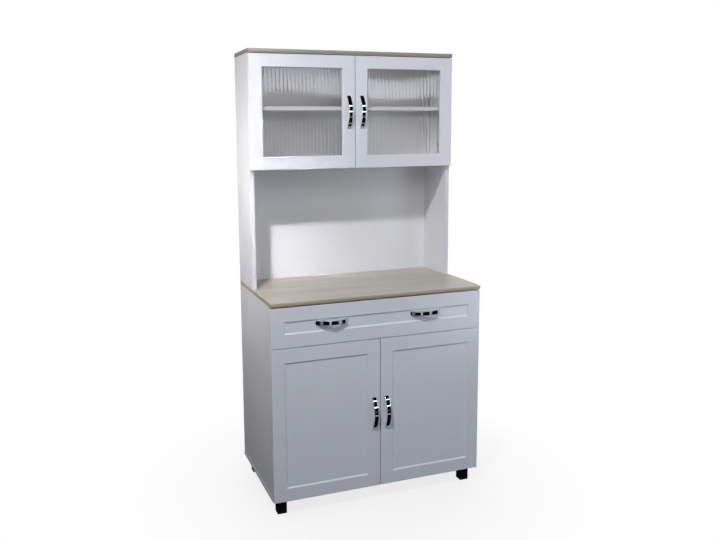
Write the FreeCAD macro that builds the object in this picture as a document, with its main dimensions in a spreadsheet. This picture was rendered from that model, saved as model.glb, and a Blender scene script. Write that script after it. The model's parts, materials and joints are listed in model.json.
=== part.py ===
"""Kitchen buffet cabinet: base, worktop, open niche and glazed hutch, as separate pieces in millimetres.

The origin is under the middle of the cabinet on the floor. +Z is up, the fronts face -Y, +X is the
right-hand side. Every driving size is a cell of the sheet, and every place is a formula of the cells.
"""
import FreeCAD, Part
import math
import os
import re
import Sketcher

SIZES = {
    # boards of the carcass
    "total_height": 1823, "counter_height": 859, "counter_board": 15, "counter_nose": 4,
    "roof_board": 16, "roof_overhang": 1,
    "body_width": 900, "base_depth": 472, "hutch_depth": 216,
    "side_board": 18, "carcass_board": 16, "bottom_overhang": 1, "rail_depth": 80,
    "back_board": 3, "back_inset": 15, "groove_depth": 6, "groove_play": 0.2,
    "board_edge_radius": 1.5,
    # shelves and their pins
    "lower_shelf_rise": 287, "upper_shelf_rise": 222, "shelf_setback": 12, "shelf_play": 0.7,
    "pin_radius": 2.5, "pin_depth": 9, "pin_reach": 8, "pin_inset": 45,
    # feet
    "foot_height": 63, "foot_width": 38, "foot_edge_radius": 2.5,
    "foot_front_inset": 15, "foot_rear_inset": 25, "foot_side_inset": 23,
    "foot_screw_seat": 46, "foot_screw_head_radius": 6.5, "foot_screw_head_height": 4,
    "foot_screw_radius": 3, "foot_screw_length": 28,
    # doors and drawer front
    "front_board": 16, "front_joint": 3, "front_side_reveal": 0.5, "front_bottom_reveal": 1,
    "drawer_top_gap": 5, "bumper_gap": 2, "front_edge_radius": 1.5,
    "drawer_front_height": 158, "upper_door_height": 459,
    "panel_stile": 52, "panel_top_rail": 55, "panel_bottom_rail": 52, "panel_recess": 5, "panel_bevel": 5,
    "glass_stile": 55, "glass_rail": 53, "glass_bevel": 3, "pane_board": 4, "pane_lap": 9, "pane_play": 0.2,
    "clip_width": 14, "clip_board": 2, "clip_lap": 5, "clip_end_inset": 110,
    "clip_screw_radius": 1.3, "clip_screw_length": 11, "clip_head_radius": 2.6, "clip_head_height": 1.2,
    # bow handles
    "handle_length": 136, "handle_rise": 27, "handle_width": 17, "handle_ribbon": 6,
    "handle_gap_length": 86, "handle_edge_radius": 1.4, "handle_hole_inset": 5,
    "handle_screw_radius": 2, "handle_screw_bite": 7, "handle_screw_head_radius": 4,
    "handle_screw_head_height": 2.4, "drawer_handle_in": 202, "drawer_handle_lift": 8.5,
    # concealed hinges, measured from the inner face of the side panel and from the door's back face
    "cup_inset": 92, "cup_past_side": 4, "cup_radius": 17.5, "cup_wall": 0.5, "cup_depth": 11.5,
    "cup_rim_radius": 18.7, "cup_rim_board": 1, "cup_wing_past_side": 6.5, "cup_wing_width": 14,
    "cup_wing_length": 56, "cup_screw_spacing": 48, "cup_screw_radius": 1.6, "cup_screw_length": 11,
    "cup_head_radius": 3.2, "cup_head_height": 1,
    "link_pivot_past_side": 8.7, "link_pivot_deep": 4.9, "link_length": 17.6, "link_angle": 3.7,
    "link_width": 8, "link_bar": 1.8, "link_tip_radius": 1.3, "link_eye_radius": 1.9, "link_pin_radius": 1,
    "pivot_play": 0.05,
    "arm_play": 0.3, "arm_board": 1.2, "arm_height": 9.5, "arm_nose": 2.6, "arm_web_start": 1,
    "arm_reach": 60,
    "plate_board": 2, "plate_depth": 24, "plate_length": 50, "plate_hole_setback": 37,
    "plate_screw_spacing": 32, "plate_screw_radius": 2.5, "plate_screw_length": 12,
    "plate_head_radius": 4, "plate_head_height": 1.5,
    # door bumpers
    "bumper_radius": 4, "bumper_board": 1.7, "bumper_in": 60,
    # drawer box and its slides
    "drawer_board": 12, "drawer_headroom": 20.5, "drawer_back_space": 56, "drawer_lift": 22,
    "drawer_bottom_board": 3, "drawer_bottom_lift": 12, "drawer_groove": 5,
    "slide_space": 13, "slide_board": 1.2, "slide_play": 0.4, "slide_height": 45,
    "slide_setback": 4, "slide_back_space": 50, "slide_flange": 9,
    # screws, cams and bolts of the carcass
    "screw_play": 0.1, "carcass_screw_radius": 2.5, "carcass_screw_head_radius": 4.5,
    "carcass_screw_head_height": 3, "counter_screw_length": 25, "side_screw_length": 46,
    "screw_front_inset": 50, "screw_rear_inset": 60, "counter_screw_in": 150,
    "cam_radius": 7.5, "cam_height": 12.5, "cam_setback": 24, "cam_bolt_radius": 3, "cam_bolt_bite": 11,
    # travel of the cutting tools past a face
    "overrun": 1,
}

PLACES = {
    # planes along Y, from the wall to the front
    "rear": "(base_depth + bumper_gap + front_board + handle_rise) / 2",
    "base_front": "rear - base_depth",
    "lower_back": "base_front - bumper_gap",
    "lower_face": "lower_back - front_board",
    "hutch_front": "rear - hutch_depth",
    "upper_back": "hutch_front - bumper_gap",
    "upper_face": "upper_back - front_board",
    "counter_front": "lower_face - counter_nose",
    "back_rear": "rear - back_inset",
    "back_front": "back_rear - back_board",
    "groove_rear": "back_rear + groove_play",
    "groove_front": "back_front - groove_play",
    # planes along X
    "side_outer": "body_width / 2",
    "side_inner": "side_outer - side_board",
    "side_middle": "side_outer - side_board / 2",
    "roof_edge": "side_outer + roof_overhang",
    "front_outer": "side_outer - front_side_reveal",
    "front_inner": "front_joint / 2",
    # planes along Z
    "deck": "foot_height + carcass_board",
    "counter_under": "counter_height - counter_board",
    "roof_under": "total_height - roof_board",
    "drawer_top": "counter_under - drawer_top_gap",
    "drawer_bottom": "drawer_top - drawer_front_height",
    "lower_door_top": "drawer_bottom - front_joint",
    "lower_door_bottom": "foot_height + front_bottom_reveal",
    "upper_door_top": "roof_under - front_joint",
    "upper_door_bottom": "upper_door_top - upper_door_height",
    "divider_bottom": "lower_door_top + front_joint / 2 - carcass_board / 2",
    "top_rail_bottom": "counter_under - carcass_board",
    "niche_top": "upper_door_bottom",
    "hutch_floor": "niche_top + carcass_board",
    "lower_shelf_under": "deck + lower_shelf_rise",
    "upper_shelf_under": "hutch_floor + upper_shelf_rise",
    # drawer box
    "box_outer": "side_inner - slide_space",
    "box_inner": "box_outer - drawer_board",
    "box_bottom": "divider_bottom + carcass_board + drawer_lift",
    "box_top": "top_rail_bottom - drawer_headroom",
    "box_back": "back_front - drawer_back_space",
    "slide_bottom": "(box_bottom + box_top - slide_height) / 2",
    "slide_top": "slide_bottom + slide_height",
    "slide_front": "base_front + slide_setback",
    "slide_rear": "back_front - slide_back_space",
}

ROTATIONS = {
    "X": FreeCAD.Rotation(FreeCAD.Vector(0, 1, 0), 90),
    "Y": FreeCAD.Rotation(FreeCAD.Vector(1, 0, 0), -90),
    "Z": FreeCAD.Rotation(),
}

OPPOSITE = {"+": "-", "-": "+"}

doc = FreeCAD.newDocument("KitchenBuffet")
sheet = doc.addObject("Spreadsheet::Sheet", "Sizes")
for row, (name, size) in enumerate(SIZES.items(), start=1):
    sheet.set(f"A{row}", name)
    sheet.set(f"B{row}", str(size))
    sheet.setAlias(f"B{row}", name)
doc.recompute()

nodes = {}


def formula(text):
    """Write the names in a formula as cells of the sheet, and the named places as their own formulas."""
    def word(match):
        name = match.group(0)
        if name in PLACES:
            return "(" + formula(PLACES[name]) + ")"
        return "Sizes." + name if name in SIZES else name
    return re.sub(r"[a-z][a-z_]+", word, text)


def bind(item, **sizes):
    """Bind properties of an object to formulas."""
    for prop, text in sizes.items():
        item.setExpression(prop, formula(text))


def place(item, x, y, z):
    """Bind the position of an object to formulas."""
    for axis, text in zip("xyz", (x, y, z)):
        item.setExpression(f"Placement.Base.{axis}", formula(text))


def box(x0, x1, y0, y1, z0, z1):
    """A block between two corners."""
    item = doc.addObject("Part::Box", "Block")
    bind(item, Length=f"({x1}) - ({x0})", Width=f"({y1}) - ({y0})", Height=f"({z1}) - ({z0})")
    place(item, x0, y0, z0)
    return item


def rod(along, radius, start, end, first, second):
    """A round bar along an axis. first and second are its two other coordinates, in X, Y, Z order."""
    item = doc.addObject("Part::Cylinder", "Bar")
    item.Placement = FreeCAD.Placement(FreeCAD.Vector(), ROTATIONS[along])
    bind(item, Radius=radius, Height=f"({end}) - ({start})")
    spot = {"X": (start, first, second), "Y": (first, start, second), "Z": (first, second, start)}
    place(item, *spot[along])
    return item


def bevelled_hole(x0, x1, z0, z1, face, depth, bevel):
    """A block that narrows from its mouth in the face to the given opening at the given depth."""
    item = doc.addObject("Part::Wedge", "Bevel")
    bind(item, Ymin=face, Ymax=f"{face} + {depth}")
    bind(item, Xmin=f"{x0} - {bevel}", Xmax=f"{x1} + {bevel}", X2min=x0, X2max=x1)
    bind(item, Zmin=f"{z0} - {bevel}", Zmax=f"{z1} + {bevel}", Z2min=z0, Z2max=z1)
    return item


def group(pieces):
    """Several separate solids as one object."""
    item = doc.addObject("Part::Compound", "Group")
    item.Links = pieces
    return item


def fused(*pieces):
    """Several overlapping shapes as one solid."""
    item = doc.addObject("Part::MultiFuse", "Union")
    item.Shapes = list(pieces)
    item.Refine = True
    return item


def cut(base, *tools):
    """A shape with others taken away from it."""
    item = doc.addObject("Part::Cut", "Cut")
    item.Base = base
    item.Tool = tools[0] if len(tools) == 1 else fused(*tools)
    return item


def mirror(source):
    """The same shape on the other side of the middle plane."""
    item = doc.addObject("Part::Mirroring", "Mirror")
    item.Source = source
    item.Normal = (1, 0, 0)
    return item


def rounded(base, radius, chosen):
    """Round the edges of a shape that a test chooses by the edge's box."""
    doc.recompute()
    item = doc.addObject("Part::Fillet", "Rounding")
    item.Base = base
    size = SIZES[radius]
    whole = base.Shape.BoundBox
    item.Edges = [(number, size, size) for number, edge in enumerate(base.Shape.Edges, start=1)
                  if chosen(edge.BoundBox, whole)]
    return item


def stretch(seat, way, length):
    """The two ends, lower one first, of a stretch of a given length that starts at a seat."""
    far = f"({seat}) {way} ({length})"
    return (seat, far) if way == "+" else (far, seat)


def node(name, item):
    """Give a finished piece its name."""
    item.Label = name
    nodes[name] = item
    return item


def on_front(edge, whole):
    """An outer edge of the front face."""
    return edge.YMax - whole.YMin < SIZES["groove_play"]


def screw(along, seat, first, second, shape, way="+", bore=False):
    """A screw whose head sits on a seat and whose shank points along the axis, or the bore for it."""
    head_radius, head_height, shank_radius, length = shape
    play = "screw_play" if bore else "0"
    head = stretch(seat, OPPOSITE[way], f"{head_height} + {play}")
    shank = stretch(seat, way, f"{length} + {play}")
    return fused(rod(along, f"{head_radius} + {play}", *head, first, second),
                 rod(along, f"{shank_radius} + {play}", *shank, first, second))


FOOT_SCREW = ("foot_screw_head_radius", "foot_screw_head_height", "foot_screw_radius", "foot_screw_length")
COUNTER_SCREW = ("carcass_screw_head_radius", "carcass_screw_head_height", "carcass_screw_radius",
                 "counter_screw_length")
SIDE_SCREW = ("carcass_screw_head_radius", "carcass_screw_head_height", "carcass_screw_radius",
              "side_screw_length")
DOOR_HANDLE_SCREW = ("handle_screw_head_radius", "handle_screw_head_height", "handle_screw_radius",
                     "front_board + handle_screw_bite")
DRAWER_HANDLE_SCREW = ("handle_screw_head_radius", "handle_screw_head_height", "handle_screw_radius",
                       "front_board - panel_recess + handle_screw_bite")
CUP_SCREW = ("cup_head_radius", "cup_head_height", "cup_screw_radius", "cup_screw_length")
PLATE_SCREW = ("plate_head_radius", "plate_head_height", "plate_screw_radius", "plate_screw_length")
CLIP_SCREW = ("clip_head_radius", "clip_head_height", "clip_screw_radius", "clip_screw_length")


def back_groove(x0, x1, z0, z1):
    """The groove that holds a back panel."""
    return box(x0, x1, "groove_front", "groove_rear", z0, z1)


def cam_fitting(face, way, y):
    """A cam lock in a lying board near the left side panel, its bolt into that panel, and their bores.

    face is the surface that the cam is let into, and way the sign of the direction into the board.
    """
    middle = f"{face} {way} carcass_board / 2"
    centre = "-side_inner + cam_setback"
    tip = "-side_inner - cam_bolt_bite"
    cam = rod("Z", "cam_radius", *stretch(face, way, "cam_height"), centre, y)
    bolt = rod("X", "cam_bolt_radius", tip, f"{centre} - cam_radius - screw_play", y, middle)
    pocket = stretch(f"{face} {OPPOSITE[way]} overrun", way, "overrun + cam_height + screw_play")
    cam_bore = rod("Z", "cam_radius + screw_play", *pocket, centre, y)
    bolt_bore = rod("X", "cam_bolt_radius + screw_play", f"{tip} - screw_play", centre, y, middle)
    return cam, bolt, cam_bore, bolt_bore


def shelf_pin(y, shelf, bore=False):
    """A pin in the left side panel that carries a shelf, or the bore for it."""
    play = "screw_play" if bore else "0"
    end = "-side_inner" if bore else "-side_inner + pin_reach"
    return rod("X", f"pin_radius + {play}", f"-side_inner - pin_depth - {play}", end, y,
               f"{shelf} - pin_radius")


def hinge_box(x0, x1, y0, y1, z0, z1, back):
    """A block of a left-hand hinge, from the side panel's inner face and from the door's back face."""
    return box(f"-side_inner + {x0}", f"-side_inner + {x1}", f"{back} + {y0}", f"{back} + {y1}", z0, z1)


def feet_and_bottom():
    """Four moulded feet under the bottom panel, with a screw up through each."""
    spots = {
        "front": "base_front + foot_front_inset + foot_width / 2",
        "rear": "rear - foot_rear_inset - foot_width / 2",
    }
    x = "-side_outer + foot_side_inset + foot_width / 2"
    screws = []
    bores = []
    for where, y in spots.items():
        body = doc.addObject("PartDesign::Body", "Foot")
        sketch = square_sketch(body, "foot_width")
        pad = body.newObject("PartDesign::Pad", "Post")
        pad.Profile = sketch
        bind(pad, Length="foot_height")
        doc.recompute()
        fillet = body.newObject("PartDesign::Fillet", "SoftCorners")
        upright = [f"Edge{number}" for number, edge in enumerate(pad.Shape.Edges, start=1)
                   if edge.BoundBox.ZLength > edge.BoundBox.XLength + edge.BoundBox.YLength]
        fillet.Base = (pad, upright)
        bind(fillet, Radius="foot_edge_radius")
        place(body, x, y, "0")
        bore = rod("Z", "foot_screw_head_radius + screw_play", "-overrun", "foot_screw_seat", x, y)
        through = rod("Z", "foot_screw_radius + screw_play", "0", "foot_height + overrun", x, y)
        left = node(f"{where}_left_foot", cut(body, bore, through))
        node(f"{where}_right_foot", mirror(left))
        screws.append(screw("Z", "foot_screw_seat", x, y, FOOT_SCREW))
        bores.append(screw("Z", "foot_screw_seat", x, y, FOOT_SCREW, bore=True))
    for inset in ("base_front + screw_front_inset", "rear - screw_rear_inset"):
        seat = "foot_height + carcass_screw_head_height"
        screws.append(screw("Z", seat, "-side_middle", inset, SIDE_SCREW))
        bores.append(screw("Z", seat, "-side_middle", inset, SIDE_SCREW, bore=True))
    edge = "side_outer + bottom_overhang"
    board = box(f"-({edge})", edge, "base_front", "rear", "foot_height", "deck")
    soft = rounded(board, "board_edge_radius",
                   lambda e, w: e.YLength > w.YLength / 2 and w.ZMax - e.ZMin < SIZES["groove_play"])
    reach = "side_inner + groove_depth"
    groove = back_groove(f"-({reach})", reach, "deck - groove_depth", "deck + overrun")
    tools = bores + [mirror(bore) for bore in bores]
    node("base_bottom_panel", cut(soft, groove, *tools))
    return screws, bores


def flat_sketch(body, name):
    """An empty sketch on a body's own ground plane."""
    sketch = body.newObject("Sketcher::SketchObject", name)
    plane = [feature for feature in body.Origin.OriginFeatures if feature.Role == "XY_Plane"][0]
    sketch.AttachmentSupport = (plane, "")
    sketch.MapMode = "FlatFace"
    return sketch


def square_sketch(body, side):
    """A square about the body's own origin, on its own ground plane."""
    sketch = flat_sketch(body, "Square")
    half = SIZES[side] / 2
    corners = [FreeCAD.Vector(u * half, v * half) for u, v in ((-1, -1), (1, -1), (1, 1), (-1, 1))]
    for number in range(4):
        sketch.addGeometry(Part.LineSegment(corners[number], corners[(number + 1) % 4]), False)
    for number in range(4):
        sketch.addConstraint(Sketcher.Constraint("Coincident", number, 2, (number + 1) % 4, 1))
        sketch.addConstraint(Sketcher.Constraint("Vertical" if number % 2 else "Horizontal", number))
    sketch.addConstraint(Sketcher.Constraint("Symmetric", 0, 1, 1, 2, -1, 1))
    sketch.addConstraint(Sketcher.Constraint("Equal", 0, 1))
    width = sketch.addConstraint(Sketcher.Constraint("DistanceX", 0, 1, 0, 2, 2 * half))
    sketch.renameConstraint(width, "side")
    sketch.setExpression("Constraints.side", formula(side))
    return sketch


def bow_handle():
    """A bow handle lying along its body's X axis, rising along Y, and as wide as its ribbon along Z."""
    body = doc.addObject("PartDesign::Body", "BowHandle")
    sketch = flat_sketch(body, "Bow")
    chords = (("handle_length", "handle_rise"), ("handle_gap_length", "handle_rise - handle_ribbon"))
    rises = (SIZES["handle_rise"], SIZES["handle_rise"] - SIZES["handle_ribbon"])
    for number, ((chord, rise), height) in enumerate(zip(chords, rises)):
        half = SIZES[chord] / 2
        radius = (half ** 2 + height ** 2) / (2 * height)
        turn = math.asin(half / radius)
        centre = FreeCAD.Vector(0, height - radius)
        circle = Part.Circle(centre, FreeCAD.Vector(0, 0, 1), radius)
        sketch.addGeometry(Part.ArcOfCircle(circle, math.pi / 2 - turn, math.pi / 2 + turn), False)
        sketch.addConstraint(Sketcher.Constraint("PointOnObject", number, 1, -1))
        sketch.addConstraint(Sketcher.Constraint("PointOnObject", number, 2, -1))
        sketch.addConstraint(Sketcher.Constraint("PointOnObject", number, 3, -2))
        span = sketch.addConstraint(Sketcher.Constraint("DistanceX", number, 2, number, 1, 2 * half))
        sketch.renameConstraint(span, f"chord{number}")
        sketch.setExpression(f"Constraints.chord{number}", formula(chord))
        bend = sketch.addConstraint(Sketcher.Constraint("Radius", number, radius))
        sketch.renameConstraint(bend, f"radius{number}")
        sketch.setExpression(f"Constraints.radius{number}",
                             formula(f"({chord} * {chord} / 4 + ({rise}) * ({rise})) / (2 * ({rise}))"))
    for line, end in ((2, 1), (3, 2)):
        outer = sketch.getPoint(0, end)
        inner = sketch.getPoint(1, end)
        sketch.addGeometry(Part.LineSegment(outer, inner), False)
        sketch.addConstraint(Sketcher.Constraint("Coincident", line, 1, 0, end))
        sketch.addConstraint(Sketcher.Constraint("Coincident", line, 2, 1, end))
    pad = body.newObject("PartDesign::Pad", "Ribbon")
    pad.Profile = sketch
    pad.Midplane = True
    bind(pad, Length="handle_width")
    doc.recompute()
    fillet = body.newObject("PartDesign::Fillet", "SoftEdges")
    long_edges = [f"Edge{number}" for number, edge in enumerate(pad.Shape.Edges, start=1)
                  if edge.BoundBox.YMax > SIZES["handle_rise"] - SIZES["handle_ribbon"] / 2]
    fillet.Base = (pad, long_edges)
    bind(fillet, Radius="handle_edge_radius")
    return body


def mounted_handle(upright, x, face, z, back, shape):
    """A bow handle on a face, drilled for its two screws from the back, with them and their bores."""
    body = bow_handle()
    outward = FreeCAD.Vector(0, -1, 0)
    length, width = FreeCAD.Vector(1, 0, 0), FreeCAD.Vector(0, 0, -1)
    if upright:
        length, width = FreeCAD.Vector(0, 0, 1), FreeCAD.Vector(1, 0, 0)
    body.Placement = FreeCAD.Placement(FreeCAD.Vector(), FreeCAD.Rotation(length, outward, width, "XYZ"))
    place(body, x, face, z)
    screws = []
    bores = []
    for sign in "-+":
        off = f"{sign} (handle_gap_length / 2 + handle_hole_inset)"
        spot = (x, f"{z} {off}") if upright else (f"{x} {off}", z)
        screws.append(screw("Y", back, *spot, shape, "-"))
        bores.append(screw("Y", back, *spot, shape, "-", bore=True))
    return cut(body, group(bores)), screws, bores


def base_carcass(bottom_bores):
    """Sides, back, rails and shelf of the base, with their cams, bolts and pins."""
    cams = []
    bolts = []
    side_tools = list(bottom_bores)
    rails = {
        "base_front_top_rail": ("base_front", "base_front + rail_depth", "top_rail_bottom"),
        "base_rear_top_rail": ("groove_front - rail_depth", "groove_front", "top_rail_bottom"),
        "drawer_divider_rail": ("base_front", "base_front + rail_depth", "divider_bottom"),
    }
    counter_screws = []
    counter_bores = []
    for name, (front, back, bottom) in rails.items():
        middle = f"({front} + {back}) / 2"
        cam, bolt, cam_bore, bolt_bore = cam_fitting(bottom, "+", middle)
        cams.append(cam)
        bolts.append(bolt)
        side_tools.append(bolt_bore)
        board = box("-side_inner", "side_inner", front, back, bottom, f"{bottom} + carcass_board")
        tools = [cam_bore, bolt_bore, mirror(cam_bore), mirror(bolt_bore)]
        if bottom == "top_rail_bottom":
            seat = "top_rail_bottom + carcass_screw_head_height"
            counter_screws.append(screw("Z", seat, "-counter_screw_in", middle, COUNTER_SCREW))
            bore = screw("Z", seat, "-counter_screw_in", middle, COUNTER_SCREW, bore=True)
            counter_bores += [bore, mirror(bore)]
            tools += counter_bores[-2:]
        node(name, cut(board, *tools))
    pins = []
    for y in ("base_front + shelf_setback + pin_inset", "back_front - pin_inset"):
        pins.append(shelf_pin(y, "lower_shelf_under"))
        side_tools.append(shelf_pin(y, "lower_shelf_under", bore=True))
    plate_tools = [bore for z in hinge_heights("lower") for bore in plate_screws(z, "base_front", True)]
    groove = back_groove("-side_inner - groove_depth", "-side_inner + overrun", "deck - overrun",
                         "counter_under + overrun")
    panel = box("-side_outer", "-side_inner", "base_front", "rear", "deck", "counter_under")
    left = node("base_left_side", cut(panel, groove, *side_tools, *plate_tools))
    node("base_right_side", mirror(left))
    reach = "side_inner + groove_depth - groove_play"
    node("base_back_panel", box(f"-({reach})", reach, "back_front", "back_rear",
                                "deck - groove_depth + groove_play", "counter_under"))
    shelf = "side_inner - shelf_play"
    board = box(f"-({shelf})", shelf, "base_front + shelf_setback", "back_front - shelf_play",
                "lower_shelf_under", "lower_shelf_under + carcass_board")
    node("lower_shelf", rounded(board, "board_edge_radius", on_front))
    return cams, bolts, pins, counter_screws, counter_bores


def worktop(counter_bores):
    """The worktop, screwed from below to the rails and to the sides of the hutch."""
    screws = []
    bores = []
    for y in ("hutch_front + screw_front_inset", "rear - screw_rear_inset"):
        seat = "counter_under + carcass_screw_head_height"
        screws.append(screw("Z", seat, "-side_middle", y, SIDE_SCREW))
        bores.append(screw("Z", seat, "-side_middle", y, SIDE_SCREW, bore=True))
    board = box("-side_outer", "side_outer", "counter_front", "rear", "counter_under", "counter_height")
    soft = rounded(board, "board_edge_radius", on_front)
    node("worktop", cut(soft, *counter_bores, *bores, *[mirror(bore) for bore in bores]))
    return screws, bores


def hutch_carcass(side_bores):
    """Sides, floor, back, shelf and roof of the hutch, with their cams, bolts and pins."""
    cams = []
    bolts = []
    side_tools = list(side_bores)
    floor_tools = []
    for y in ("hutch_front + screw_front_inset", "back_front - screw_rear_inset"):
        cam, bolt, cam_bore, bolt_bore = cam_fitting("hutch_floor", "-", y)
        cams.append(cam)
        bolts.append(bolt)
        side_tools.append(bolt_bore)
        floor_tools += [cam_bore, bolt_bore, mirror(cam_bore), mirror(bolt_bore)]
    board = box("-side_inner", "side_inner", "hutch_front", "groove_front", "niche_top", "hutch_floor")
    node("hutch_floor_panel", cut(board, *floor_tools))
    roof_tools = []
    for y in ("hutch_front + screw_front_inset", "back_front - screw_rear_inset"):
        spot = "roof_under - cam_setback"
        cams.append(rod("X", "cam_radius", "-side_inner - cam_height", "-side_inner", y, spot))
        bolts.append(rod("Z", "cam_bolt_radius", f"{spot} + cam_radius + screw_play",
                         "roof_under + cam_bolt_bite", "-side_middle", y))
        side_tools.append(rod("X", "cam_radius + screw_play", "-side_inner - cam_height - screw_play",
                              "-side_inner + overrun", y, spot))
        channel = rod("Z", "cam_bolt_radius + screw_play", spot, "roof_under + cam_bolt_bite + screw_play",
                      "-side_middle", y)
        side_tools.append(channel)
        roof_tools += [channel, mirror(channel)]
    pins = []
    for y in ("hutch_front + shelf_setback + pin_inset", "back_front - pin_inset"):
        pins.append(shelf_pin(y, "upper_shelf_under"))
        side_tools.append(shelf_pin(y, "upper_shelf_under", bore=True))
    plate_tools = [bore for z in hinge_heights("upper") for bore in plate_screws(z, "hutch_front", True)]
    groove = back_groove("-side_inner - groove_depth", "-side_inner + overrun", "counter_height - overrun",
                         "roof_under + overrun")
    panel = box("-side_outer", "-side_inner", "hutch_front", "rear", "counter_height", "roof_under")
    left = node("hutch_left_side", cut(panel, groove, *side_tools, *plate_tools))
    node("hutch_right_side", mirror(left))
    reach = "side_inner + groove_depth - groove_play"
    node("hutch_back_panel",
         box(f"-({reach})", reach, "back_front", "back_rear", "counter_height", "roof_under"))
    shelf = "side_inner - shelf_play"
    board = box(f"-({shelf})", shelf, "hutch_front + shelf_setback", "back_front - shelf_play",
                "upper_shelf_under", "upper_shelf_under + carcass_board")
    node("upper_shelf", rounded(board, "board_edge_radius", on_front))
    roof = box("-roof_edge", "roof_edge", "upper_face", "rear", "roof_under", "total_height")
    node("roof_panel", cut(rounded(roof, "board_edge_radius", on_front), *roof_tools))
    return cams, bolts, pins


def hinge_heights(tier):
    """The heights of the two hinges of a door."""
    return (f"{tier}_door_bottom + cup_inset", f"{tier}_door_top - cup_inset")


def plate_screws(z, front, bore=False):
    """The two screws that hold a left-hand mounting plate, or the bores for them."""
    seat = "-side_inner + plate_board"
    return [screw("X", seat, f"{front} + plate_hole_setback", f"{z} {sign} plate_screw_spacing / 2",
                  PLATE_SCREW, "-", bore) for sign in "-+"]


def hinge_plate(z, front):
    """A mounting plate on the inner face of the left side panel."""
    middle = f"{front} + plate_hole_setback"
    plate = box("-side_inner", "-side_inner + plate_board", f"{middle} - plate_depth / 2",
                f"{middle} + plate_depth / 2", f"{z} - plate_length / 2", f"{z} + plate_length / 2")
    return cut(plate, *plate_screws(z, front, True))


def hinge_arm(z, back):
    """The arm of a left-hand hinge: a channel open towards the side panel, forked at its nose."""
    half = "(link_width / 2 + arm_play)"
    outer = f"({half} + arm_board)"
    pivot = ("-side_inner + link_pivot_past_side", f"{back} - link_pivot_deep")
    shell = hinge_box("plate_board", "plate_board + arm_height", "-link_pivot_deep - arm_nose", "arm_reach",
                      f"{z} - {outer}", f"{z} + {outer}", back)
    hollow = hinge_box("plate_board - overrun", "plate_board + arm_height - arm_board",
                       "-link_pivot_deep - arm_nose - overrun", "arm_reach + overrun",
                       f"{z} - {half}", f"{z} + {half}", back)
    fork = hinge_box("plate_board - overrun", "plate_board + arm_height + overrun",
                     "-link_pivot_deep - arm_nose - overrun", "-arm_web_start",
                     f"{z} - {half}", f"{z} + {half}", back)
    bore = rod("Z", "link_pin_radius + pivot_play", f"{z} - {outer} - overrun", f"{z} + {outer} + overrun",
               *pivot)
    return cut(shell, hollow, fork, bore)


def hinge_link(z, back):
    """The link of a left-hand hinge, from its pin in the arm towards the cup."""
    x = "-side_inner + link_pivot_past_side"
    y = f"{back} - link_pivot_deep"
    half = "link_width / 2"
    reach = "(link_width / 2 + arm_play + arm_board)"
    bar = doc.addObject("Part::Box", "Block")
    turned = FreeCAD.Rotation(FreeCAD.Vector(0, 0, 1), 180 + SIZES["link_angle"])
    bar.Placement = FreeCAD.Placement(FreeCAD.Vector(), turned)
    bind(bar, Length="link_length", Width="link_bar", Height="link_width")
    place(bar, f"{x} - sin(link_angle * 1deg) * link_bar / 2",
          f"{y} + cos(link_angle * 1deg) * link_bar / 2", f"{z} - {half}")
    eye = rod("Z", "link_eye_radius", f"{z} - {half}", f"{z} + {half}", x, y)
    tip = rod("Z", "link_tip_radius", f"{z} - {half}", f"{z} + {half}",
              f"{x} - cos(link_angle * 1deg) * link_length", f"{y} - sin(link_angle * 1deg) * link_length")
    pin = rod("Z", "link_pin_radius", f"{z} - {reach}", f"{z} + {reach}", x, y)
    return fused(bar, eye, tip, pin)


def hinge_cup(z, back):
    """The cup of a left-hand hinge, with its rim and its two screw wings, and its screws and bores."""
    x = "-side_inner + cup_past_side"
    well = rod("Y", "cup_radius - screw_play", f"{back} - cup_depth", f"{back} + cup_rim_board", x, z)
    rim = rod("Y", "cup_rim_radius", back, f"{back} + cup_rim_board", x, z)
    wings = hinge_box("cup_wing_past_side", "cup_wing_past_side + cup_wing_width", "0", "cup_rim_board",
                      f"{z} - cup_wing_length / 2", f"{z} + cup_wing_length / 2", back)
    hollow = rod("Y", "cup_radius - screw_play - cup_wall", f"{back} - cup_depth + cup_wall",
                 f"{back} + cup_rim_board + overrun", x, z)
    middle = "-side_inner + cup_wing_past_side + cup_wing_width / 2"
    seat = f"{back} + cup_rim_board"
    spots = [(middle, f"{z} {sign} cup_screw_spacing / 2") for sign in "-+"]
    screws = [screw("Y", seat, *spot, CUP_SCREW, "-") for spot in spots]
    bores = [screw("Y", seat, *spot, CUP_SCREW, "-", bore=True) for spot in spots]
    pocket = rod("Y", "cup_radius", f"{back} - cup_depth - screw_play", f"{back} + overrun", x, z)
    return cut(fused(well, rim, wings), hollow, *bores), screws, bores + [pocket]


def door_blank(tier):
    """The left door of a tier before it is worked, with softened front edges."""
    blank = box("-front_outer", "-front_inner", f"{tier}_face", f"{tier}_back", f"{tier}_door_bottom",
                f"{tier}_door_top")
    return rounded(blank, "front_edge_radius", on_front)


def door_hardware(tier, stile):
    """Cups, handle and screws of the left door of a tier, and the bores that they need."""
    back = f"{tier}_back"
    cups = []
    screws = []
    tools = []
    for z in hinge_heights(tier):
        cup, cup_screws, bores = hinge_cup(z, back)
        cups.append(cup)
        screws += cup_screws
        tools += bores
    middle = f"({tier}_door_bottom + {tier}_door_top) / 2"
    grip = f"-front_inner - {stile} / 2"
    handle, grip_screws, bores = mounted_handle(True, grip, f"{tier}_face", middle, back, DOOR_HANDLE_SCREW)
    return cups, handle, screws + grip_screws, tools + bores


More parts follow.
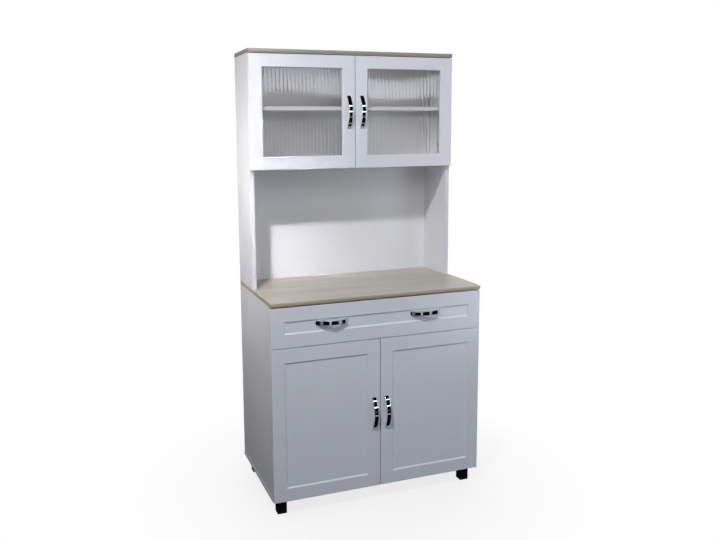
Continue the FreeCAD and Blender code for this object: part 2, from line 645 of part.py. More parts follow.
def upper_doors():
    """A glazed frame with a pane, clips, hinge cups and a handle, and its mirror image."""
    cups, handle, screws, tools = door_hardware("upper", "glass_stile")
    x0, x1 = "-front_outer + glass_stile", "-front_inner - glass_stile"
    z0, z1 = "upper_door_bottom + glass_rail", "upper_door_top - glass_rail"
    mouth = bevelled_hole(x0, x1, z0, z1, "upper_face", "glass_bevel", "glass_bevel")
    opening = box(x0, x1, "upper_face", "upper_back + overrun", z0, z1)
    lap = "(pane_lap + pane_play)"
    rebate = box(f"{x0} - {lap}", f"{x1} + {lap}", "upper_back - pane_board", "upper_back + overrun",
                 f"{z0} - {lap}", f"{z1} + {lap}")
    pane = box(f"{x0} - pane_lap", f"{x1} + pane_lap", "upper_back - pane_board", "upper_back",
               f"{z0} - pane_lap", f"{z1} + pane_lap")
    clips = []
    for x, sign in ((f"{x0} - pane_lap", "-"), (f"{x1} + pane_lap", "+")):
        for z in (f"{z0} + clip_end_inset", f"{z1} - clip_end_inset"):
            across = stretch(f"{x} {OPPOSITE[sign]} clip_lap", sign, "clip_width")
            plate = box(*across, "upper_back", "upper_back + clip_board", f"{z} - clip_width / 2",
                        f"{z} + clip_width / 2")
            spot = (f"{x} {sign} (clip_width - clip_lap) / 2", z)
            seat = "upper_back + clip_board"
            bore = screw("Y", seat, *spot, CLIP_SCREW, "-", bore=True)
            clips.append(cut(plate, bore))
            tools.append(bore)
            screws.append(screw("Y", seat, *spot, CLIP_SCREW, "-"))
    pieces = {
        "frame": cut(door_blank("upper"), mouth, opening, rebate, *tools),
        "pane": pane, "pane_clips": group(clips), "hinge_cups": group(cups), "handle": handle,
        "screws": group(screws),
    }
    for name, item in pieces.items():
        left = node(f"upper_left_{name}", item)
        node(f"upper_right_{name}", mirror(left))


def lower_doors():
    """A routed panel with hinge cups and a handle, and its mirror image."""
    cups, handle, screws, tools = door_hardware("lower", "panel_stile")
    recess = bevelled_hole(
        "-front_outer + panel_stile + panel_bevel", "-front_inner - panel_stile - panel_bevel",
        "lower_door_bottom + panel_bottom_rail + panel_bevel",
        "lower_door_top - panel_top_rail - panel_bevel",
        "lower_face", "panel_recess", "panel_bevel")
    pieces = {
        "panel": cut(door_blank("lower"), recess, *tools),
        "hinge_cups": group(cups), "handle": handle, "screws": group(screws),
    }
    for name, item in pieces.items():
        left = node(f"lower_left_{name}", item)
        node(f"lower_right_{name}", mirror(left))


def hinges_on_carcass():
    """Mounting plates, arms and screws on the side panels, and the links that turn with the doors."""
    plates = []
    arms = []
    screws = []
    for tier, front in (("upper", "hutch_front"), ("lower", "base_front")):
        links = []
        for z in hinge_heights(tier):
            plates.append(hinge_plate(z, front))
            arms.append(hinge_arm(z, f"{tier}_back"))
            links.append(hinge_link(z, f"{tier}_back"))
            screws += plate_screws(z, front)
        left = node(f"{tier}_left_hinge_links", group(links))
        node(f"{tier}_right_hinge_links", mirror(left))
    node("hinge_plates", group(plates + [mirror(plate) for plate in plates]))
    node("hinge_arms", group(arms + [mirror(arm) for arm in arms]))
    return screws


def bumpers():
    """Soft dots on the front edges of the lying boards, which the doors and the drawer close against."""
    edges = (("base_front", "foot_height"), ("base_front", "divider_bottom"), ("hutch_front", "niche_top"))
    dots = [rod("Y", "bumper_radius", f"{front} - bumper_board", front, "-bumper_in",
                f"{bottom} + carcass_board / 2") for front, bottom in edges]
    node("door_bumpers", group(dots + [mirror(dot) for dot in dots]))


def drawer():
    """The drawer: a routed front on a box that runs on side-mounted slides."""
    grip = "(drawer_bottom + panel_bottom_rail + drawer_top - panel_top_rail) / 2 + drawer_handle_lift"
    seat = "lower_face + panel_recess"
    handle, screws, bores = mounted_handle(False, "-drawer_handle_in", seat, grip, "lower_back",
                                           DRAWER_HANDLE_SCREW)
    blank = box("-front_outer", "front_outer", "lower_face", "lower_back", "drawer_bottom", "drawer_top")
    recess = bevelled_hole(
        "-front_outer + panel_stile + panel_bevel", "front_outer - panel_stile - panel_bevel",
        "drawer_bottom + panel_bottom_rail + panel_bevel", "drawer_top - panel_top_rail - panel_bevel",
        "lower_face", "panel_recess", "panel_bevel")
    floor = "box_bottom + drawer_bottom_lift"
    reach = "box_inner + drawer_groove"
    slot = box(f"-({reach})", reach, "lower_back - drawer_groove", "box_back + overrun",
               f"{floor} - groove_play", f"{floor} + drawer_bottom_board + groove_play")
    node("drawer_front", cut(rounded(blank, "front_edge_radius", on_front), recess, slot, *bores,
                             *[mirror(bore) for bore in bores]))
    side = box("-box_outer", "-box_inner", "lower_back", "box_back", "box_bottom", "box_top")
    left = node("drawer_left_side", cut(side, slot))
    node("drawer_right_side", mirror(left))
    node("drawer_back", box("-box_inner", "box_inner", "box_back - drawer_board", "box_back",
                            f"{floor} + drawer_bottom_board", "box_top"))
    edge = "box_inner + drawer_groove - groove_play"
    node("drawer_bottom_panel",
         box(f"-({edge})", edge, "lower_back - drawer_groove + groove_play", "box_back",
             floor, f"{floor} + drawer_bottom_board"))
    node("drawer_handles", group([handle, mirror(handle)]))
    node("drawer_screws", group(screws + [mirror(item) for item in screws]))


def slide_channel(wall, way, reach, height):
    """A channel of a left-hand slide. wall is the outer face of its web, and way where it opens to."""
    spare = f"(slide_height - ({height})) / 2"
    low, high = f"slide_bottom + {spare}", f"slide_top - {spare}"
    shell = box(*stretch(wall, way, reach), "slide_front", "slide_rear", low, high)
    hollow = box(*stretch(f"{wall} {way} slide_board", way, f"{reach} + overrun"), "slide_front - overrun",
                 "slide_rear + overrun", f"{low} + slide_board", f"{high} - slide_board")
    return cut(shell, hollow)


def drawer_slides():
    """Three channels a side, one inside the other: on the carcass, between, and on the drawer."""
    step = "2 * (slide_board + slide_play)"
    middle_wall = "-side_inner + slide_board + slide_play"
    cabinet = slide_channel("-side_inner", "+", "slide_space - slide_board - slide_play", "slide_height")
    middle = slide_channel(middle_wall, "+", "slide_flange", f"slide_height - {step}")
    moving = slide_channel("-box_outer", "-", "slide_space - 2 * (slide_board + slide_play)",
                           f"slide_height - 2 * {step}")
    node("cabinet_slide_members", group([cabinet, mirror(cabinet)]))
    node("middle_slide_members", group([middle, mirror(middle)]))
    node("drawer_slide_members", group([moving, mirror(moving)]))


bottom_screws, bottom_bores = feet_and_bottom()
base_cams, base_bolts, base_pins, rail_screws, rail_bores = base_carcass(bottom_bores)
hutch_screws, hutch_bores = worktop(rail_bores)
hutch_cams, hutch_bolts, hutch_pins = hutch_carcass(hutch_bores)
plate_fixings = hinges_on_carcass()
for title, pieces in (
        ("carcass_screws", bottom_screws + rail_screws + hutch_screws + plate_fixings),
        ("cam_locks", base_cams + hutch_cams),
        ("cam_bolts", base_bolts + hutch_bolts),
        ("shelf_pins", base_pins + hutch_pins)):
    node(title, group(pieces + [mirror(piece) for piece in pieces]))
bumpers()
upper_doors()
lower_doors()
drawer()
drawer_slides()
doc.recompute()

faults = [item.Label for item in doc.Objects if "Invalid" in item.State or "Error" in item.State]
faults += [name for name, item in nodes.items() if item.Shape.isNull() or not item.Shape.isValid()]
if faults:
    raise RuntimeError("failed pieces: " + ", ".join(faults))

os.makedirs("parts", exist_ok=True)
for name, item in nodes.items():
    item.Shape.exportStep(f"parts/{name}.step")
print(len(nodes), "pieces written")
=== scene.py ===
"""Kitchen buffet cabinet: finishes, ribbed panes, studio and camera round the fixed frame.

Lengths are in metres, in the frame's own axes: +Z is up and the fronts face -Y.
"""
import json
import math

import bmesh
import bpy
from mathutils import Matrix, Vector


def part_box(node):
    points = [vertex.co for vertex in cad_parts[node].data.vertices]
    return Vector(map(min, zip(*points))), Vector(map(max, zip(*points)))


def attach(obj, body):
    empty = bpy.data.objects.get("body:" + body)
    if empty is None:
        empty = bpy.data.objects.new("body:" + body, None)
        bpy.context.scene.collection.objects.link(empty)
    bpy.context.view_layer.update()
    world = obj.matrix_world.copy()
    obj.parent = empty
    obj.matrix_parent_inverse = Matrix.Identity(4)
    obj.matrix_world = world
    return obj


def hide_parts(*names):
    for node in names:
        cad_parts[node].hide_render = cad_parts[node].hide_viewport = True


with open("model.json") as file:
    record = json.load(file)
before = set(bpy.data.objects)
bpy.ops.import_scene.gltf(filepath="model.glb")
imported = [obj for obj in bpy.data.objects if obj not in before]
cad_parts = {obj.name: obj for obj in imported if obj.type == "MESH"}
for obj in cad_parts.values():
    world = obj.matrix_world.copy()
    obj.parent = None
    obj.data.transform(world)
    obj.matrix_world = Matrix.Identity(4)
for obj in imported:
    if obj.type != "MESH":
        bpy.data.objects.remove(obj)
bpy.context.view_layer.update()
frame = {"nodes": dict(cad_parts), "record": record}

MM = 0.001

# Camera, fitted to the corners of the cabinet in the photograph
PHOTO_SIZE = (716, 540)
CAMERA_SPOT = Vector((-1.1570, -2.8541, 1.4935))
CAMERA_YAW = math.radians(19.80)
CAMERA_DOWN = math.radians(7.67)
CAMERA_ROLL = math.radians(-0.55)
FOCAL_PIXELS = 739.7
OPTICAL_CENTRE = (329.15, 232.0)
SENSOR_WIDTH_MM = 36.0


def make_camera():
    """The camera of the photograph, from its fitted place, direction and optical centre."""
    forward = Vector((math.sin(CAMERA_YAW) * math.cos(CAMERA_DOWN),
                      math.cos(CAMERA_YAW) * math.cos(CAMERA_DOWN),
                      -math.sin(CAMERA_DOWN)))
    level = Vector((math.cos(CAMERA_YAW), -math.sin(CAMERA_YAW), 0))
    upright = level.cross(forward)
    right = math.cos(CAMERA_ROLL) * level + math.sin(CAMERA_ROLL) * upright
    up = math.cos(CAMERA_ROLL) * upright - math.sin(CAMERA_ROLL) * level
    width, height = PHOTO_SIZE
    data = bpy.data.cameras.new("camera")
    data.sensor_width = SENSOR_WIDTH_MM
    data.lens = FOCAL_PIXELS * SENSOR_WIDTH_MM / width
    data.shift_x = (width / 2 - OPTICAL_CENTRE[0]) / width
    data.shift_y = (OPTICAL_CENTRE[1] - height / 2) / width
    camera = bpy.data.objects.new("camera", data)
    camera.matrix_world = Matrix((
        (right.x, up.x, -forward.x, CAMERA_SPOT.x),
        (right.y, up.y, -forward.y, CAMERA_SPOT.y),
        (right.z, up.z, -forward.z, CAMERA_SPOT.z),
        (0, 0, 0, 1)))
    bpy.context.scene.collection.objects.link(camera)
    bpy.context.scene.camera = camera


def tone(colour, factor):
    """A colour made darker or lighter."""
    return tuple(channel * factor for channel in colour)


def opaque(colour):
    """A colour with full alpha, as a node's input takes it; another node's output stays as it is."""
    return colour if isinstance(colour, bpy.types.NodeSocket) else (*colour, 1)


def calculated(tree, operation, *values):
    """The result of a Math node for the values that are linked to it."""
    node = tree.nodes.new("ShaderNodeMath")
    node.operation = operation
    for value, socket in zip(values, node.inputs):
        tree.links.new(value, socket)
    return node.outputs["Value"]


def is_ray(tree, *kinds):
    """A value that is 1 for rays of any of these kinds, and 0 for others."""
    path = tree.nodes.new("ShaderNodeLightPath")
    found, *others = [path.outputs[f"Is {kind} Ray"] for kind in kinds]
    for other in others:
        found = calculated(tree, "MAXIMUM", found, other)
    return found


class Finish:
    """A node material with short calls for the nodes that the finishes share.

    place is where a point lies on its piece, in the frame's axes at rest.
    share is where it lies in the piece's own box, from 0 to 1 along each axis.
    """

    def __init__(self, name, **settings):
        self.material = bpy.data.materials.new(name)
        self.material.use_nodes = True
        self.tree = self.material.node_tree
        self.shader = self.tree.nodes["Principled BSDF"]
        coordinates = self.add("ShaderNodeTexCoord")
        self.place = coordinates.outputs["Object"]
        self.share = coordinates.outputs["Generated"]
        self.set(**settings)

    def feed(self, node, **inputs):
        """Give a node's named inputs constants, or link them to other nodes' outputs."""
        for name, value in inputs.items():
            socket = node.inputs[name.replace("_", " ")]
            if isinstance(value, bpy.types.NodeSocket):
                self.tree.links.new(value, socket)
            else:
                socket.default_value = value

    def set(self, **inputs):
        """Feed the named inputs of the finish's own shader."""
        self.feed(self.shader, **inputs)

    def add(self, kind, **inputs):
        """A new node with its named inputs fed."""
        node = self.tree.nodes.new(kind)
        self.feed(node, **inputs)
        return node

    def along(self, axis, vector):
        """A vector's part along an axis."""
        return self.add("ShaderNodeSeparateXYZ", Vector=vector).outputs[axis]

    def facing(self, axis):
        """How far the surface faces along an axis, from -1 to 1."""
        return self.along(axis, self.add("ShaderNodeNewGeometry").outputs["Normal"])

    def noise(self, scale=1.0, fineness=None, detail=2.0, roughness=0.5, distortion=0.0):
        """Noise between 0 and 1, whose scale and fineness along each axis make it finer as they grow."""
        place = self.place
        if fineness:
            place = self.add("ShaderNodeMapping", Vector=place, Scale=fineness).outputs["Vector"]
        node = self.add("ShaderNodeTexNoise", Vector=place, Scale=scale, Detail=detail,
                        Roughness=roughness, Distortion=distortion)
        return node.outputs["Fac"]

    def ramp(self, value, stops):
        """A colour ramp through (position, colour) stops."""
        node = self.add("ShaderNodeValToRGB", Fac=value)
        elements = node.color_ramp.elements
        for position, _ in stops[1:-1]:
            elements.new(position)
        for element, (position, colour) in zip(elements, stops):
            element.position = position
            element.color = opaque(colour)
        return node.outputs["Color"]

    def span(self, value, old, new=(0, 1)):
        """A value mapped from its old range to a new one, clamped."""
        node = self.add("ShaderNodeMapRange", Value=value, From_Min=old[0], From_Max=old[1],
                        To_Min=new[0], To_Max=new[1])
        return node.outputs["Result"]

    def mix(self, factor, first, second, way="MIX"):
        """Two colours blended, or combined another way."""
        node = self.tree.nodes.new("ShaderNodeMix")
        node.data_type = "RGBA"
        node.blend_type = way
        self.feed(node, Factor=factor, A=opaque(first), B=opaque(second))
        return node.outputs["Result"]

    def product(self, first, second):
        """Two colours multiplied."""
        return self.mix(1.0, first, second, "MULTIPLY")

    def bump(self, height, distance):
        """Bump the surface by a height between 0 and 1 that stands for a distance."""
        self.set(Normal=self.add("ShaderNodeBump", Height=height, Distance=distance).outputs["Normal"])

    def blend(self, factor, other):
        """Blend the finish's own shader with another one on its way to the surface."""
        node = self.add("ShaderNodeMixShader", Fac=factor)
        for shader, socket in zip((self.shader.outputs["BSDF"], other), node.inputs[1:]):
            self.tree.links.new(shader, socket)
        self.feed(self.tree.nodes["Material Output"], Surface=node.outputs["Shader"])


# Ranges of a noise's values that are spread over a finish's own range
WIDE = (0.3, 0.7)
NARROW = (0.35, 0.65)

# White boards
FRONT_WHITE = (0.805, 0.825, 0.89)
CARCASS_WHITE = (0.80, 0.803, 0.835)
BACK_WHITE = (0.845, 0.855, 0.89)
# Painted light: the shelf's front edge is whiter than any board
SHELF_EDGE_PAINTED_LIGHT = (0.94, 0.945, 0.96)
BOARD_CLOUDS = {"scale": 3.0, "detail": 4.0, "roughness": 0.6}
BOARD_GLOSS_CLOUDS = {"scale": 9.0, "detail": 3.0}
BOARD_TEXTURE = {"scale": 650.0, "roughness": 0.6}
BOARD_DARKEST = 0.975
BOARD_GLOSS_LESS = 0.03
BOARD_GLOSS_MORE = 0.04
FACING_FRONT = (-0.9, -0.6)


def board_finish(name, colour, gloss, depth, band=None):
    """A white board: faint clouding of its colour and gloss, and the fine texture of its surface.

    depth is that of the texture, and band the colour of the edge bands, which face the front; the
    shelf's band is whiter than its board, painted light on its front edge.
    """
    finish = Finish(name)
    clouds = finish.span(finish.noise(**BOARD_CLOUDS), NARROW)
    plain = finish.mix(clouds, tone(colour, BOARD_DARKEST), colour)
    if band:
        plain = finish.mix(finish.span(finish.facing("Y"), FACING_FRONT, (1, 0)), plain, band)
    gloss_range = (gloss - BOARD_GLOSS_LESS, gloss + BOARD_GLOSS_MORE)
    finish.set(Base_Color=plain,
               Roughness=finish.span(finish.noise(**BOARD_GLOSS_CLOUDS), WIDE, gloss_range))
    finish.bump(finish.noise(**BOARD_TEXTURE), depth)
    return finish.material


# Oak laminate, with its grain along X
OAK_LIGHT = (0.575, 0.548, 0.50)
OAK_MIDDLE = (0.515, 0.478, 0.415)
OAK_DARK = (0.44, 0.388, 0.32)
OAK_STREAKS = {"fineness": (1.1, 17.0, 17.0), "detail": 5.0, "roughness": 0.62, "distortion": 0.6}
OAK_STREAK_COLOURS = ((0.30, OAK_DARK), (0.47, OAK_MIDDLE), (0.62, OAK_LIGHT))
OAK_LINES = {"fineness": (3.0, 110.0, 110.0), "detail": 4.0, "roughness": 0.6, "distortion": 0.3}
OAK_LINE_VALUES = (0.38, 0.62)
OAK_LINE_TONE = 0.86
OAK_LINE_SHARE = 0.55
OAK_PORES = {"fineness": (28.0, 900.0, 900.0)}
OAK_PORE_VALUES = (0.62, 0.72)
OAK_PORE_SHARE = 0.5
OAK_PORE_DEPTH = 0.08 * MM
OAK_DULLER = 0.05
OAK_SHINIER = 0.03
# The right part of the boards is darker
OAK_DARKER_FROM_X = (0.05, 0.45)
OAK_DARKER_SHARE = 0.35
# Edge bands, which get lighter upwards: painted shade on their lower part and a painted highlight on
# their upper part
OAK_EDGE = (0.49, 0.425, 0.305)
OAK_ROOF_EDGE = (0.345, 0.315, 0.28)
BETWEEN_BOARDS = (1.0, 1.6)
EDGE_STREAK = (0.85, 0.85, 0.85)
EDGE_PLAIN = (1.0, 1.0, 1.0)
EDGE_PAINTED_SHADE = (0.78, 0.78, 0.78)
EDGE_PAINTED_HIGHLIGHT = (1.25, 1.25, 1.25)
EDGE_PAINTED_LIGHT_HEIGHTS = (0.1, 0.9)
FACING_LEVEL = (0.3, 0.6)


def oak_finish(name, gloss):
    """Light oak laminate: broad streaks, thin darker lines and short pores.

    The edges of the board carry a plainer band, browner on the worktop than on the roof board, with
    painted shade on its lower part and a painted highlight on its upper part.
    """
    finish = Finish(name)
    lines = finish.noise(**OAK_LINES)
    pores = finish.noise(**OAK_PORES)
    wood = finish.ramp(finish.noise(**OAK_STREAKS), OAK_STREAK_COLOURS)
    darker = finish.span(finish.along("X", finish.place), OAK_DARKER_FROM_X, (0, OAK_DARKER_SHARE))
    wood = finish.mix(darker, wood, OAK_DARK)
    wood = finish.mix(finish.span(lines, OAK_LINE_VALUES, (OAK_LINE_SHARE, 0)),
                      wood, tone(OAK_MIDDLE, OAK_LINE_TONE))
    wood = finish.mix(finish.span(pores, OAK_PORE_VALUES, (0, OAK_PORE_SHARE)), wood, OAK_DARK)
    edge = finish.mix(finish.span(finish.along("Z", finish.place), BETWEEN_BOARDS),
                      OAK_EDGE, OAK_ROOF_EDGE)
    streaks = finish.mix(finish.span(lines, NARROW), EDGE_STREAK, EDGE_PLAIN)
    # Painted shade on the lower part of each edge band and a painted highlight on its upper part
    painted_edge_light = finish.mix(finish.span(finish.along("Z", finish.share), EDGE_PAINTED_LIGHT_HEIGHTS),
                          EDGE_PAINTED_SHADE, EDGE_PAINTED_HIGHLIGHT)
    band = finish.product(finish.product(edge, streaks), painted_edge_light)
    level = calculated(finish.tree, "ABSOLUTE", finish.facing("Z"))
    finish.set(Base_Color=finish.mix(finish.span(level, FACING_LEVEL), band, wood),
               Roughness=finish.span(lines, WIDE, (gloss + OAK_DULLER, gloss - OAK_SHINIER)))
    finish.bump(pores, OAK_PORE_DEPTH)
    return finish.material


# Metals
METAL_CLOUDS = {"scale": 60.0, "detail": 3.0, "roughness": 0.6}
METAL_SCRATCHES = {"scale": 140.0, "detail": 4.0, "roughness": 0.7}
METAL_GRAIN = {"scale": 900.0}
METAL_DARKEST = 0.93
METAL_GRAIN_DEPTH = 0.01 * MM


def metal_finish(name, colour, gloss, scratches):
    """A plated metal with fine scratches and clouding in its gloss."""
    finish = Finish(name, Metallic=1.0)
    clouds = finish.span(finish.noise(**METAL_CLOUDS), WIDE)
    worn = finish.span(finish.noise(**METAL_SCRATCHES), WIDE, (gloss, gloss + scratches))
    finish.set(Base_Color=finish.mix(clouds, tone(colour, METAL_DARKEST), colour), Roughness=worn)
    finish.bump(finish.noise(**METAL_GRAIN), METAL_GRAIN_DEPTH)
    return finish.material


# Plastics
PLASTIC_CLOUDS = {"scale": 120.0, "detail": 3.0}
PLASTIC_GLOSS_CLOUDS = {"scale": 400.0, "detail": 3.0}
PLASTIC_GRAIN = {"scale": 1400.0, "detail": 1.0}
PLASTIC_DARKEST = 0.85
PLASTIC_GLOSS_LESS = 0.05
PLASTIC_GLOSS_MORE = 0.08
PLASTIC_GRAIN_DEPTH = 0.04 * MM


def plastic_finish(name, colour, gloss, **settings):
    """Moulded plastic with a fine grain."""
    finish = Finish(name, **settings)
    clouds = finish.span(finish.noise(**PLASTIC_CLOUDS), WIDE)
    gloss_range = (gloss - PLASTIC_GLOSS_LESS, gloss + PLASTIC_GLOSS_MORE)
    finish.set(Base_Color=finish.mix(clouds, tone(colour, PLASTIC_DARKEST), colour),
               Roughness=finish.span(finish.noise(**PLASTIC_GLOSS_CLOUDS), WIDE, gloss_range))
    finish.bump(finish.noise(**PLASTIC_GRAIN), PLASTIC_GRAIN_DEPTH)
    return finish.material


# Clear sheet
PANE_TINT = (0.95, 0.94, 0.92)
PANE_LIGHT_THROUGH = (0.885, 0.88, 0.875)
PANE_BENDING = 1.49
PANE_CLOUDS = {"scale": 30.0, "detail": 3.0, "roughness": 0.6}
PANE_GLOSS_RANGE = (0.02, 0.04)


def pane_finish(name):
    """A clear sheet that refracts what stands behind it and lets the lamps' light straight through."""
    finish = Finish(name, Base_Color=opaque(PANE_TINT), IOR=PANE_BENDING, Transmission_Weight=1.0)
    finish.set(Roughness=finish.span(finish.noise(**PANE_CLOUDS), WIDE, PANE_GLOSS_RANGE))
    straight = finish.add("ShaderNodeBsdfTransparent", Color=opaque(PANE_LIGHT_THROUGH))
    finish.blend(is_ray(finish.tree, "Shadow", "Diffuse"), straight.outputs["BSDF"])
    return finish.material


# Finishes by name, most of them the names of material slots
FINISHES = {
    "white_front": (board_finish, {"colour": FRONT_WHITE, "gloss": 0.33, "depth": 0.02 * MM}),
    "white_carcass": (board_finish, {"colour": CARCASS_WHITE, "gloss": 0.42, "depth": 0.03 * MM,
                                     "band": FRONT_WHITE}),
    # The shelf's front edge carries painted light
    "white_shelf": (board_finish, {"colour": CARCASS_WHITE, "gloss": 0.42, "depth": 0.03 * MM,
                                   "band": SHELF_EDGE_PAINTED_LIGHT}),
    "back_board": (board_finish, {"colour": BACK_WHITE, "gloss": 0.38, "depth": 0.02 * MM}),
    "drawer_board": (board_finish, {"colour": CARCASS_WHITE, "gloss": 0.48, "depth": 0.03 * MM}),
    "oak_top": (oak_finish, {"gloss": 0.36}),
    "pane": (pane_finish, {}),
    "clear_plastic": (plastic_finish, {"colour": (0.80, 0.83, 0.85), "gloss": 0.2,
                                       "Transmission_Weight": 0.7}),
    "chrome": (metal_finish, {"colour": (0.82, 0.83, 0.85), "gloss": 0.03, "scratches": 0.03}),
    "steel": (metal_finish, {"colour": (0.60, 0.60, 0.60), "gloss": 0.22, "scratches": 0.12}),
    "zinc": (metal_finish, {"colour": (0.52, 0.53, 0.55), "gloss": 0.32, "scratches": 0.15}),
    "black_plastic": (plastic_finish, {"colour": (0.008, 0.008, 0.022), "gloss": 0.45,
                                       "Specular_IOR_Level": 0.25}),
    "bumper": (plastic_finish, {"colour": (0.70, 0.72, 0.74), "gloss": 0.35,
                                "Transmission_Weight": 0.4}),
}
# Nodes whose finish isn't the one of their slot; the upper shelf's has painted light on its front edge
OWN_FINISHES = {"upper_shelf": "white_shelf"}

finishes = {name: make(name, **settings) for name, (make, settings) in FINISHES.items()}
slots = {part["node"]: part["material_slot"] for part in frame["record"]["subparts"]}


def dress_frame():
    """Give every node of the frame its finish."""
    for name, item in frame["nodes"].items():
        item.data.materials.clear()
        item.data.materials.append(finishes[OWN_FINISHES.get(name, slots[name])])


# Ribbed panes: each bow is its rise, and the power that moves its middle to the left
RIB_PITCH = 16 * MM
RIB_RISE = 1.55 * MM
RIB_STEPS = 8
PANE_ROWS = 24
PANE_BOWS = {"left": (1.4 * MM, 0.5), "right": (-0.8 * MM, 0.65)}
SHARP_ANGLE = math.radians(40)


def pane_rows(mesh, low, high, bow, ribbed):
    """Rows of vertices on a pane's ribbed front or plain back, bowed between the pane's edges."""
    rise, power = bow
    columns = round((high.x - low.x) / RIB_PITCH) * RIB_STEPS
    rows = []
    for row in range(PANE_ROWS + 1):
        up = row / PANE_ROWS
        line = []
        for column in range(columns + 1):
            along = column / columns
            from_middle = (column % RIB_STEPS) / RIB_STEPS * 2 - 1
            face = low.y + RIB_RISE * from_middle ** 2 if ribbed else high.y
            bowed = rise * math.sin(math.pi * along ** power) * math.sin(math.pi * up)
            line.append(mesh.verts.new((low.x + along * (high.x - low.x), face + bowed,
                                        low.z + up * (high.z - low.z))))
        rows.append(line)
    return rows


def edges_of(rows):
    """The lower, upper, left and right edge of a sheet's rows of vertices."""
    return rows[0], rows[-1][::-1], [row[0] for row in reversed(rows)], [row[-1] for row in rows]


def add_strip(mesh, first, second):
    """A strip of faces between two lines of vertices."""
    for number in range(len(first) - 1):
        mesh.faces.new((first[number], first[number + 1], second[number + 1], second[number]))


def ribbed_pane(side):
    """A bowed sheet with upright ribs on its front, in place of the plain pane."""
    node = f"upper_{side}_pane"
    low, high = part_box(node)
    mesh = bmesh.new()
    front = pane_rows(mesh, low, high, PANE_BOWS[side], ribbed=True)
    back = pane_rows(mesh, low, high, PANE_BOWS[side], ribbed=False)
    for lower, upper in zip(front, front[1:]):
        add_strip(mesh, lower, upper)
    for lower, upper in zip(back, back[1:]):
        add_strip(mesh, upper, lower)
    for near, far in zip(edges_of(front), edges_of(back)):
        add_strip(mesh, far, near)
    bmesh.ops.recalc_face_normals(mesh, faces=mesh.faces)
    name = f"{node}_ribbed"
    data = bpy.data.meshes.new(name)
    mesh.to_mesh(data)
    mesh.free()
    data.polygons.foreach_set("use_smooth", [True] * len(data.polygons))
    data.set_sharp_from_angle(angle=SHARP_ANGLE)
    data.materials.append(finishes[slots[node]])
    pane = bpy.data.objects.new(name, data)
    bpy.context.scene.collection.objects.link(pane)
    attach(pane, f"upper_{side}_door")
    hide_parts(node)


# Lamps
KEY_SPOT = (-1.835, -2.258, 4.040)
KEY_SIDE = 0.22
RIGHT_SPOT = (1.50, -1.60, 1.20)
ALL_ROUND = 180
KEY_BEAM = 12.6
LAMPS = {
    # name: (place, target, side, power, colour, spread in degrees)
    "key": (KEY_SPOT, (-0.30, 0.10, 1.20), KEY_SIDE, 90, (0.985, 0.985, 1), ALL_ROUND),
    "low_beam": (KEY_SPOT, (-0.40, 0.10, 1.08), KEY_SIDE, 0.35, (0.98, 0.985, 1), KEY_BEAM),
    "high_beam": (KEY_SPOT, (-0.50, 0.05, 1.54), KEY_SIDE, 0.38, (1, 1, 1), KEY_BEAM),
    "front": ((-0.20, -2.00, 2.30), (0.0, 0.0, 1.20), 0.9, 10.1, (0.96, 0.97, 1), ALL_ROUND),
    "front_low": ((0.10, -3.00, 0.90), (0.0, 0.0, 0.90), 0.9, 2.7, (0.95, 0.97, 1), ALL_ROUND),
    "left": ((-1.20, 0.00, 1.36), (-0.45, 0.05, 1.22), 0.5, 5.2, (1, 0.97, 0.93), ALL_ROUND),
    "right": (RIGHT_SPOT, (0.20, 0.0, 0.80), 0.8, 6.0, (0.94, 0.97, 1), ALL_ROUND),
    "right_beam": (RIGHT_SPOT, (0.43, -0.23, 0.77), 0.2, 0.045, (0.95, 0.97, 1), 14),
    "rear": ((0.50, 3.20, 1.90), (0.0, 0.26, 0.90), 1.6, 40, (1, 1, 1), ALL_ROUND),
    "rear_right": ((3.00, 1.60, 1.60), (0.45, 0.10, 0.90), 1.2, 30, (1, 1, 1), ALL_ROUND),
}


def make_lamps():
    """Soft square lamps, each aimed at a point of the cabinet."""
    for name, (place, target, side, power, colour, spread) in LAMPS.items():
        data = bpy.data.lights.new(name, "AREA")
        data.shape = "SQUARE"
        data.size = side
        data.energy = power
        data.color = colour
        data.spread = math.radians(spread)
        lamp = bpy.data.objects.new(name, data)
        lamp.location = place
        lamp.rotation_mode = "QUATERNION"
        lamp.rotation_quaternion = (Vector(target) - Vector(place)).to_track_quat("-Z", "Y")
        lamp.visible_camera = False
        bpy.context.scene.collection.objects.link(lamp)


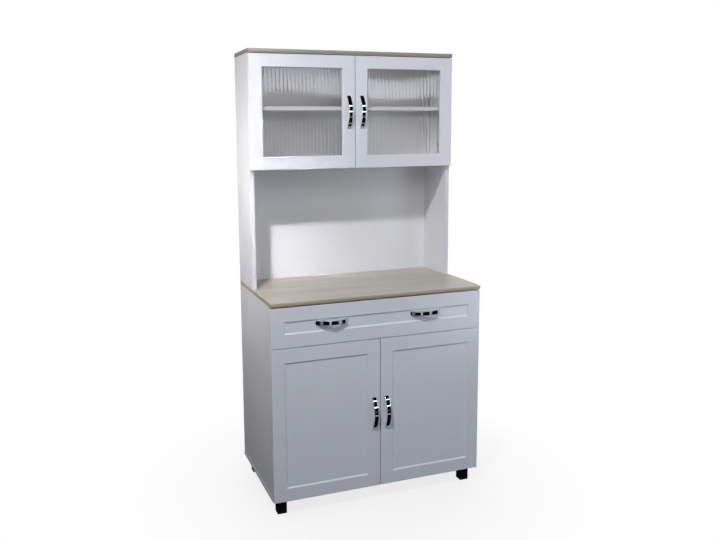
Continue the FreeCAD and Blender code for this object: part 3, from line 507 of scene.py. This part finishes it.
# Cards that only glossy surfaces see: a dark room, then windows, a lamp and light patches on its floor
CARD_TINT = (0.86, 0.91, 1.0)
NEAR_BLACK = 0.002
DARK_GREY = 0.01
CARDS = {
    # name: (centre, sizes along X, Y and Z, brightness)
    "floor_card": ((0.0, -0.75, 0.004), (8.0, 10.5, 0.0), NEAR_BLACK),
    "front_card": ((0.0, -6.0, 3.25), (8.0, 0.0, 6.5), NEAR_BLACK),
    "ceiling_card": ((0.0, -2.8, 6.5), (8.0, 6.4, 0.0), NEAR_BLACK),
    "left_card": ((-4.0, -0.75, 3.25), (0.0, 10.5, 6.5), DARK_GREY),
    "right_card": ((4.0, -2.8, 3.25), (0.0, 6.4, 6.5), DARK_GREY),
    "rear_left_card": ((-2.5, 4.5, 1.75), (3.2, 0.0, 3.5), DARK_GREY),
    "lamp_card": ((1.65, -3.53, 3.85), (1.5, 0.0, 0.5), 3.0),
    "window_card": ((1.9, -5.8, 2.05), (5.0, 0.0, 0.26), 9.4),
    "side_window_card": ((3.98, -3.70, 2.04), (0.0, 4.2, 0.22), 4.5),
    "far_card": ((1.5, -4.15, 0.01), (2.0, 1.4, 0.0), 0.25),
    "middle_card": ((0.50, -1.13, 0.01), (0.7, 0.26, 0.0), 0.42),
    "low_left_card": ((-2.05, -2.45, 0.01), (0.6, 0.65, 0.0), 0.2),
    "low_card": ((-0.15, -3.27, 0.01), (0.42, 0.5, 0.0), 0.6),
    "low_right_card": ((2.10, -2.30, 0.01), (0.65, 1.1, 0.0), 0.45),
    "low_end_card": ((3.10, 0.0, 0.01), (0.9, 1.2, 0.0), 0.5),
}
UNSEEN_BY = ("camera", "diffuse", "transmission", "volume_scatter", "shadow")
AXES = (Vector((1, 0, 0)), Vector((0, 1, 0)), Vector((0, 0, 1)))


def flat_stage(name, centre, sizes, finish):
    """A flat oblong of the studio, whose size along one axis is zero."""
    middle = Vector(centre)
    across, along = [axis * size / 2 for axis, size in zip(AXES, sizes) if size]
    corners = [middle - across - along, middle + across - along,
               middle + across + along, middle - across + along]
    data = bpy.data.meshes.new(name)
    data.from_pydata(corners, [], [range(len(corners))])
    data.materials.append(finish.material)
    item = bpy.data.objects.new(name, data)
    bpy.context.scene.collection.objects.link(item)
    return item


def make_cards():
    """The cards round the front of the cabinet, which give its glossy surfaces their reflections."""
    for name, (centre, sizes, brightness) in CARDS.items():
        finish = Finish(name, Base_Color=opaque((0, 0, 0)), Specular_IOR_Level=0.0,
                        Emission_Color=opaque(CARD_TINT), Emission_Strength=brightness)
        card = flat_stage(name, centre, sizes, finish)
        for kind in UNSEEN_BY:
            setattr(card, f"visible_{kind}", False)


# Surround and floor
WHITE = (1.0, 1.0, 1.0)
DIRECT_RAYS = ("Camera", "Glossy", "Transmission")
FLOOR_SEEN = (0.80, 0.80, 0.80)
FLOOR_BOUNCE = (0.20, 0.22, 0.27)
FLOOR_SIDE = 14.0
FLOOR_ROUGHNESS = 0.9
FLOOR_FADE = (0.45, 1.0)
FLOOR_WHITENESS = (0.80, 1.0)


def make_world():
    """A surround that is white where it is seen, and gives no light of its own."""
    world = bpy.data.worlds.new("surround")
    world.use_nodes = True
    tree = world.node_tree
    background = tree.nodes["Background"]
    background.inputs["Color"].default_value = opaque(WHITE)
    tree.links.new(is_ray(tree, *DIRECT_RAYS), background.inputs["Strength"])
    bpy.context.scene.world = world


def make_floor():
    """A pale floor that keeps the cabinet's shadow and fades to white away from it."""
    finish = Finish("floor", Roughness=FLOOR_ROUGHNESS)
    direct = is_ray(finish.tree, *DIRECT_RAYS)
    finish.set(Base_Color=finish.mix(direct, FLOOR_BOUNCE, FLOOR_SEEN))
    white = finish.add("ShaderNodeEmission", Color=opaque(WHITE), Strength=1.0)
    distance = finish.add("ShaderNodeVectorMath", Vector=finish.place)
    distance.operation = "LENGTH"
    fade = finish.span(distance.outputs["Value"], FLOOR_FADE, FLOOR_WHITENESS)
    finish.blend(calculated(finish.tree, "MULTIPLY", fade, direct), white.outputs["Emission"])
    flat_stage("floor", (0, 0, 0), (FLOOR_SIDE, FLOOR_SIDE, 0), finish)


dress_frame()
for side in ("left", "right"):
    ribbed_pane(side)
make_camera()
make_lamps()
make_cards()
make_world()
make_floor()
bpy.context.scene.view_settings.view_transform = "Standard"
